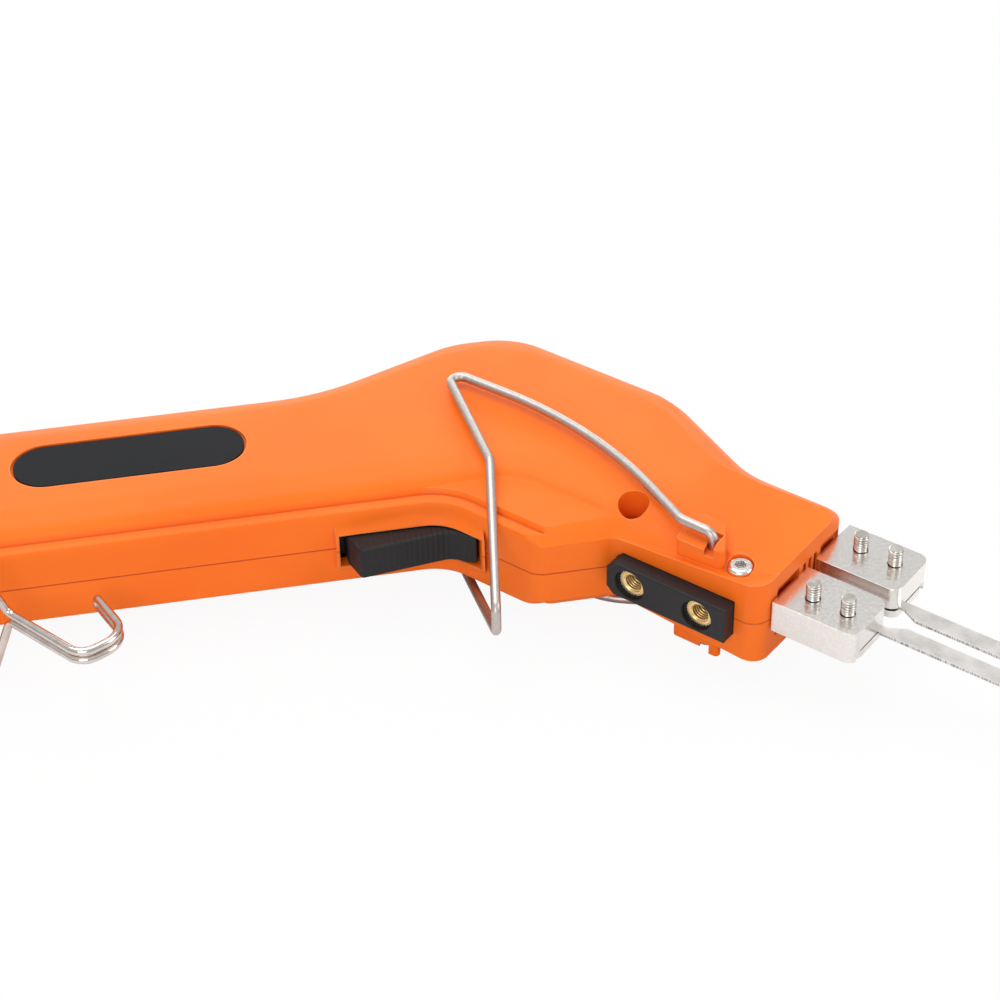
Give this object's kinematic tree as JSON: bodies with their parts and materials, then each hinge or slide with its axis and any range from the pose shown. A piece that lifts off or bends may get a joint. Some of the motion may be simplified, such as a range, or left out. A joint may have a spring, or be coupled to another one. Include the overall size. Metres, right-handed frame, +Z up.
{
  "type": "electric hot knife",
  "caption": "Pistol-shaped electric hot knife with a hairpin blade in two clamps, a trigger, a wire stand and a hanging hook.",
  "frame": {"origin": "middle of the underside of the overall box, with the tool lying on its left side", "axes": "+X from the cable inlet towards the blade, +Y towards the tool's back, +Z up through the right side"},
  "size_m": [0.3797, 0.233, 0.0395],
  "materials": {
    "orange_shell": "satin",
    "black_plastic": "matte",
    "slate_plate": "matte",
    "plated_steel": "satin",
    "bail_wire": "satin",
    "hook_wire": "polished",
    "blade_strip": "satin",
    "brass_inserts": "satin",
    "copper_bar": "satin",
    "core_steel": "matte",
    "former_plastic": "matte",
    "enamelled_copper": "gloss",
    "insulator_ceramic": "matte",
    "rubber_bush": "matte",
    "lead_jacket": "satin"
  },
  "bodies": {
    "housing": {"right_shell": "orange_shell", "left_shell": "orange_shell", "label_plate": "slate_plate", "shell_screws": "plated_steel", "accessory_bar": "black_plastic", "threaded_inserts": "brass_inserts", "near_clamp_block": "plated_steel", "near_clamp_plate": "plated_steel", "far_clamp_block": "plated_steel", "far_clamp_plate": "plated_steel", "clamp_screws": "plated_steel", "blade": "blade_strip", "secondary_winding": "copper_bar", "front_insulator": "insulator_ceramic", "transformer_core": "core_steel", "coil_former": "former_plastic", "primary_winding": "enamelled_copper", "trigger_pin": "plated_steel", "microswitch": "black_plastic", "cable_inlet_bush": "rubber_bush", "cord_clamp": "black_plastic", "cord_clamp_base": "black_plastic", "cord_clamp_screws": "plated_steel", "terminal_block": "former_plastic", "internal_leads": "lead_jacket"},
    "trigger_body": {"trigger": "black_plastic"},
    "switch_plunger": {"switch_button": "black_plastic"},
    "stand": {"bail_stand": "bail_wire"},
    "hook": {"hanging_hook": "hook_wire"}
  },
  "joints": [
    {"name": "trigger_press", "type": "hinge", "parent": "housing", "child": "trigger_body", "pos_m": [-0.01385, 0.05072, 0.01975], "axis": [0, 0, 1], "range_deg": [-8, 0], "stiffness_Nm_per_rad": 0.5, "springref_deg": 8.59},
    {"name": "switch_plunger_slide", "type": "slide", "parent": "housing", "child": "switch_plunger", "axis": [0, 1, 0], "range_m": [0, 0.0032]},
    {"name": "stand_swing", "type": "hinge", "parent": "housing", "child": "stand", "pos_m": [0.04395, 0.01292, 0.01975], "axis": [0, 0, 1], "range_deg": [0, 120]},
    {"name": "hook_swing", "type": "hinge", "parent": "housing", "child": "hook", "pos_m": [-0.15885, 0.05812, 0.01975], "axis": [0, 0, 1], "range_deg": [-150, 7]}
  ],
  "couplings": [
    {"joint": "switch_plunger_slide", "follows": "trigger_press", "m_per_rad": -0.0225}
  ]
}
